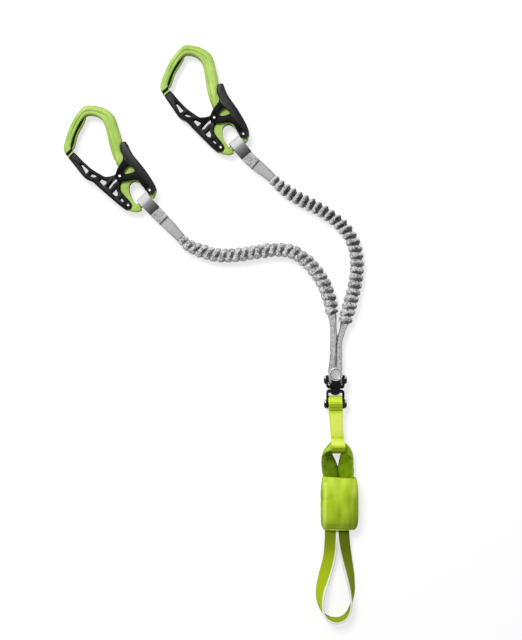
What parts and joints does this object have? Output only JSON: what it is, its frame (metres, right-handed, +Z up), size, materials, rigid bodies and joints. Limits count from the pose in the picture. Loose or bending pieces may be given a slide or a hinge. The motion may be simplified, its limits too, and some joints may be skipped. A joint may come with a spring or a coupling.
{
  "type": "via ferrata lanyard",
  "caption": "Climbing lanyard with locking carabiners on stretch webbing arms, a swivel, a folded webbing energy absorber in a pouch and a tie-in loop.",
  "frame": {"origin": "on the table under the middle of the lanyard's outline, taken without the elastic arms", "axes": "+Z up from the table, +Y along the lanyard towards the carabiners, +X to the right seen from above"},
  "size_m": [0.2993, 0.5769, 0.0219],
  "materials": {
    "green_anodised": "satin anodised",
    "black_coated": "satin",
    "bright_steel": "satin",
    "spring_steel": "plain",
    "blackened_steel": "blackened",
    "black_anodised": "satin anodised",
    "grey_webbing": "woven",
    "black_elastic": "matte",
    "bright_webbing": "woven",
    "dark_green_webbing": "woven",
    "green_fabric": "woven, padded",
    "tie_in_webbing": "woven"
  },
  "bodies": {
    "absorber": {"tie_in_loop": "tie_in_webbing", "absorber_pack": "dark_green_webbing", "absorber_loop": "dark_green_webbing", "pouch": "green_fabric"},
    "sling": {"label_sling": "bright_webbing"},
    "lower_swivel": {"lower_fork": "black_coated", "lower_bolt": "blackened_steel", "lower_nut": "blackened_steel"},
    "upper_swivel": {"upper_fork": "black_coated", "swivel_pin": "blackened_steel", "swivel_washer": "spring_steel", "upper_bolt": "blackened_steel", "upper_nut": "blackened_steel", "keeper": "black_coated", "keeper_cap": "bright_steel"},
    "arms": {"left_lower_strand": "grey_webbing", "right_lower_strand": "grey_webbing", "left_elastic_arm": "grey_webbing", "right_elastic_arm": "grey_webbing", "left_elastic_core": "black_elastic", "right_elastic_core": "black_elastic", "left_end_loop": "grey_webbing", "right_end_loop": "grey_webbing", "left_wear_sleeve": "grey_webbing", "right_wear_sleeve": "grey_webbing"},
    "left_carabiner": {"left_carabiner_body": "green_anodised", "left_gate_rivet": "bright_steel", "left_lever_rivet": "bright_steel"},
    "left_lever": {"left_palm_lever": "black_anodised", "left_lock_pin": "bright_steel", "left_lever_spring": "spring_steel"},
    "left_gate_body": {"left_gate": "black_anodised"},
    "right_carabiner": {"right_carabiner_body": "green_anodised", "right_gate_rivet": "bright_steel", "right_lever_rivet": "bright_steel"},
    "right_lever": {"right_palm_lever": "black_anodised", "right_lock_pin": "bright_steel", "right_lever_spring": "spring_steel"},
    "right_gate_body": {"right_gate": "black_anodised"}
  },
  "joints": [
    {"name": "sling_on_absorber", "type": "hinge", "parent": "absorber", "child": "sling", "pos_m": [0.1275, -0.1116, 0.0075], "axis": [1, 0, 0], "range_deg": [-45, 45]},
    {"name": "swivel_on_sling", "type": "hinge", "parent": "sling", "child": "lower_swivel", "pos_m": [0.1241, -0.0692, 0.0075], "axis": [1, 0, 0], "range_deg": [-45, 45]},
    {"name": "swivel", "type": "hinge", "parent": "lower_swivel", "child": "upper_swivel", "pos_m": [0.1241, -0.058, 0.0075], "axis": [0, 1, 0], "continuous": true},
    {"name": "arms_on_swivel", "type": "hinge", "parent": "upper_swivel", "child": "arms", "pos_m": [0.1241, -0.0451, 0.0075], "axis": [1, 0, 0], "range_deg": [-60, 12]},
    {"name": "left_carabiner_on_loop", "type": "hinge", "parent": "arms", "child": "left_carabiner", "pos_m": [-0.0661, 0.1338, 0.0075], "axis": [0.7193, 0.6947, 0], "range_deg": [-90, 90]},
    {"name": "left_lever_squeeze", "type": "hinge", "parent": "left_carabiner", "child": "left_lever", "pos_m": [-0.06077, 0.14354, 0.0075], "axis": [0, 0, 1], "range_deg": [0, 7.5], "stiffness_Nm_per_rad": 0.5, "springref_deg": -11.46},
    {"name": "left_gate_swing", "type": "hinge", "parent": "left_carabiner", "child": "left_gate_body", "pos_m": [-0.08224, 0.12878, 0.0075], "axis": [0, 0, 1], "range_deg": [-18.75, 0]},
    {"name": "right_carabiner_on_loop", "type": "hinge", "parent": "arms", "child": "right_carabiner", "pos_m": [0.0262, 0.1902, 0.0075], "axis": [0.7683, 0.6401, 0], "range_deg": [-90, 90]},
    {"name": "right_lever_squeeze", "type": "hinge", "parent": "right_carabiner", "child": "right_lever", "pos_m": [0.03223, 0.19952, 0.0075], "axis": [0, 0, 1], "range_deg": [0, 7.5], "stiffness_Nm_per_rad": 0.5, "springref_deg": -11.46},
    {"name": "right_gate_swing", "type": "hinge", "parent": "right_carabiner", "child": "right_gate_body", "pos_m": [0.00973, 0.18637, 0.0075], "axis": [0, 0, 1], "range_deg": [-18.75, 0]}
  ],
  "couplings": [
    {"joint": "left_gate_swing", "follows": "left_lever_squeeze", "ratio": -2.5},
    {"joint": "right_gate_swing", "follows": "right_lever_squeeze", "ratio": -2.5}
  ]
}
